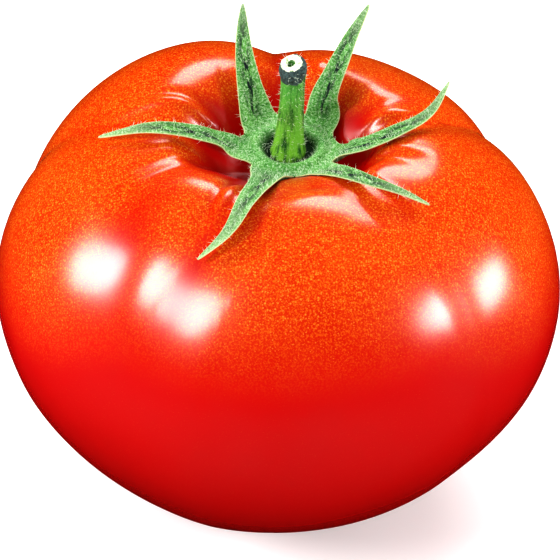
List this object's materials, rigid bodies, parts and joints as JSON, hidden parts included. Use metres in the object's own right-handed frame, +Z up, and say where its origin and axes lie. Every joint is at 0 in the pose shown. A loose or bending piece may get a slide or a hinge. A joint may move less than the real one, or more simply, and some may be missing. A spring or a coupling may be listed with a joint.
{
  "type": "ripe tomato with calyx",
  "caption": "Ripe ribbed round tomato with a green star calyx and a short cut stem, resting on a small flat spot.",
  "frame": {"origin": "middle of the small flat spot that the fruit rests on", "axes": "+Z up through the stem, -Y towards the front, between the two sepals that hang over the shoulder, +X to the right as seen from the front"},
  "size_m": [0.081, 0.0778, 0.0744],
  "materials": {
    "skin": "smooth waxy fruit skin, orange-red with fine golden specks",
    "calyx": "soft dull green leaf with a pale down",
    "stem": "dull green hairy stalk, pale where cut"
  },
  "bodies": {
    "root": {"fruit": "skin", "calyx_disc": "calyx", "sepal_left": "calyx", "sepal_back_left": "calyx", "sepal_back_right": "calyx", "sepal_right": "calyx", "sepal_front_right": "calyx", "sepal_front_left": "calyx", "stem": "stem"}
  },
  "joints": []
}
